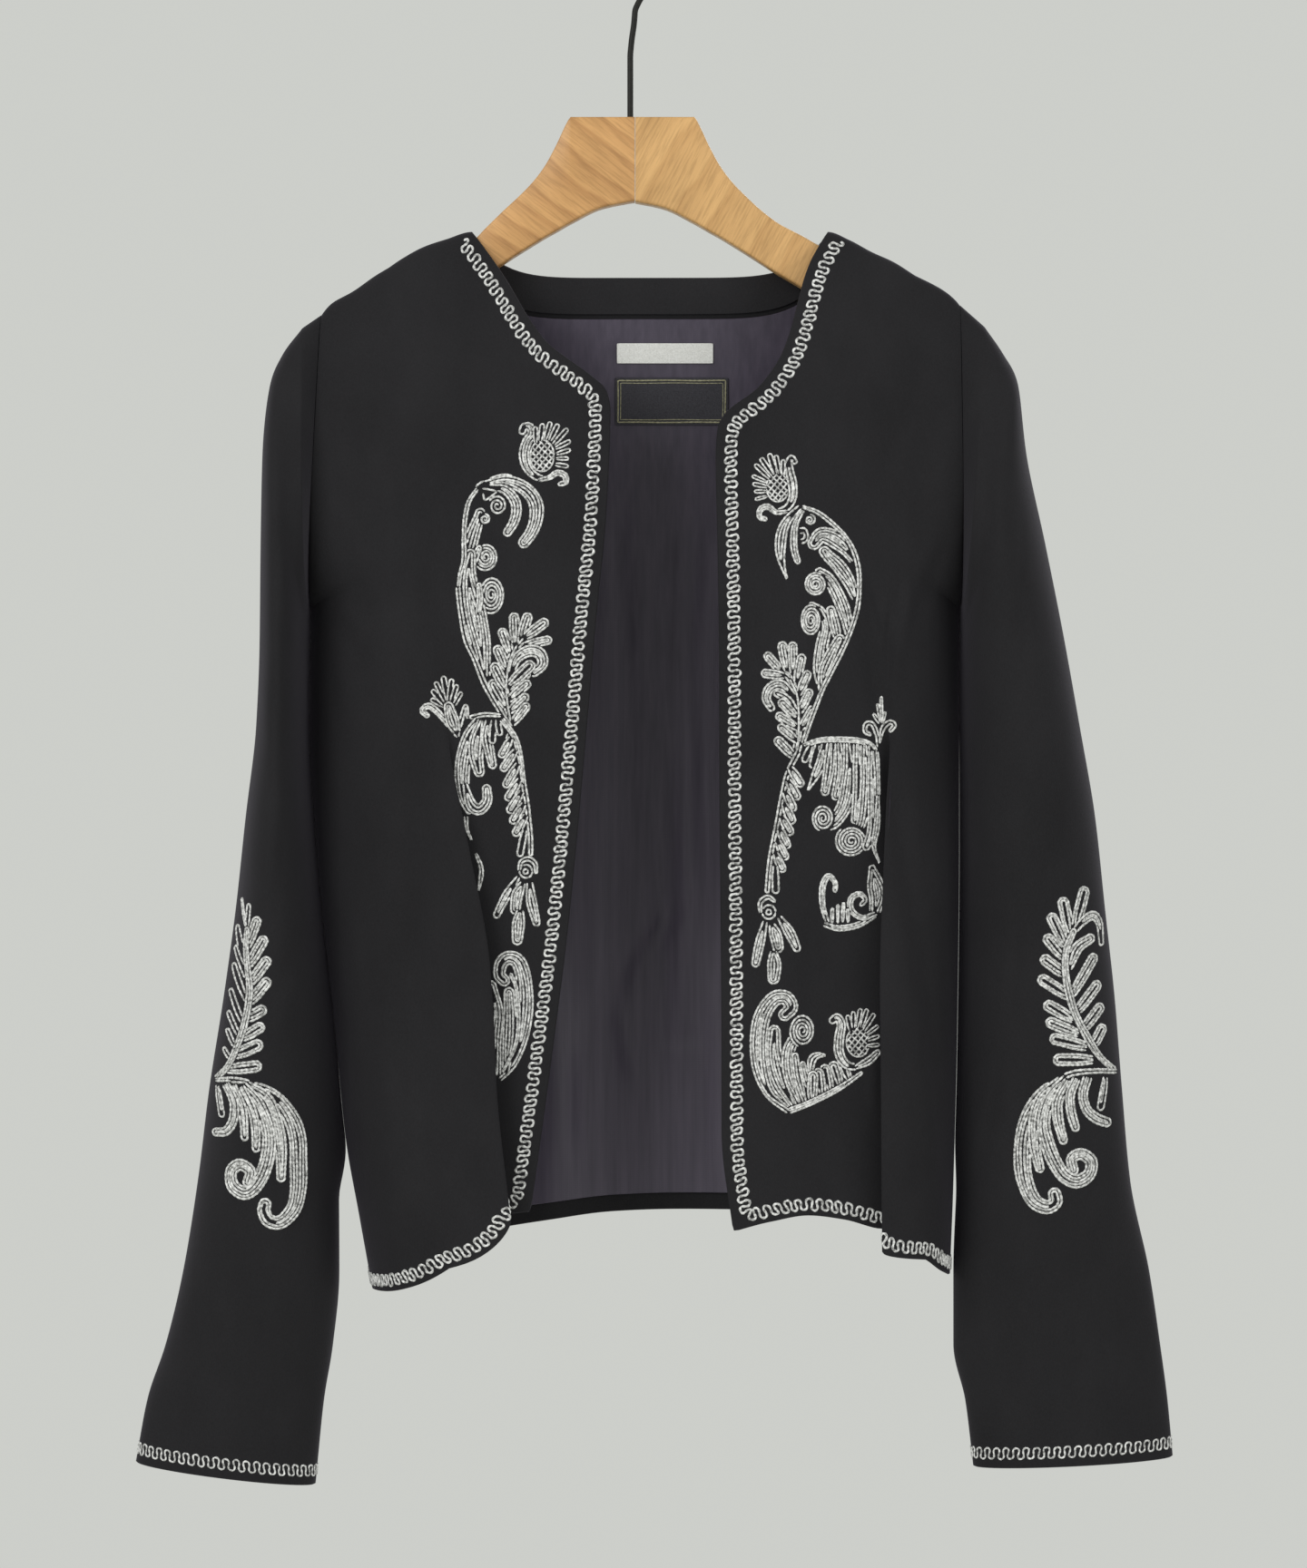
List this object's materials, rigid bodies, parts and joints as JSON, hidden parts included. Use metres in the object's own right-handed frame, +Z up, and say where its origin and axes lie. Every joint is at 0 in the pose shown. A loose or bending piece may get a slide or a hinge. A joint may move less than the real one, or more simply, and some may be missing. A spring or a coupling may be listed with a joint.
{
  "type": "embroidered velvet jacket on a wooden hanger",
  "caption": "Short collarless black velvet jacket with silver-grey embroidery, hanging open on a pale wooden hanger with a wire hook.",
  "frame": {"origin": "the hook's seat, the highest point inside the hook, where a rail carries it", "axes": "+Z up, +X to the viewer's right along the hanger's arms, -Y out of the jacket's open front"},
  "size_m": [0.5539, 0.132, 0.8446],
  "materials": {
    "velvet": "black silk velvet, short nap with a faint violet sheen",
    "lining": "thin plain-woven lining, dark purplish grey, softly shiny",
    "embroidery": "silver-grey couched and chain-stitched thread",
    "label_white": "white woven tape, matt",
    "label_black": "black woven tape with a pale double border",
    "wood": "pale open-grained wood, clear satin lacquer",
    "wire": "black lacquered wire, satin"
  },
  "bodies": {
    "root": {"back": "velvet", "front_left": "velvet", "front_right": "velvet", "sleeve_left": "velvet", "sleeve_right": "velvet", "neck_facing": "velvet", "lining_back": "lining", "label_white": "label_white", "label_black": "label_black", "hanger_left": "wood", "hanger_right": "wood", "hook": "wire"}
  },
  "joints": []
}
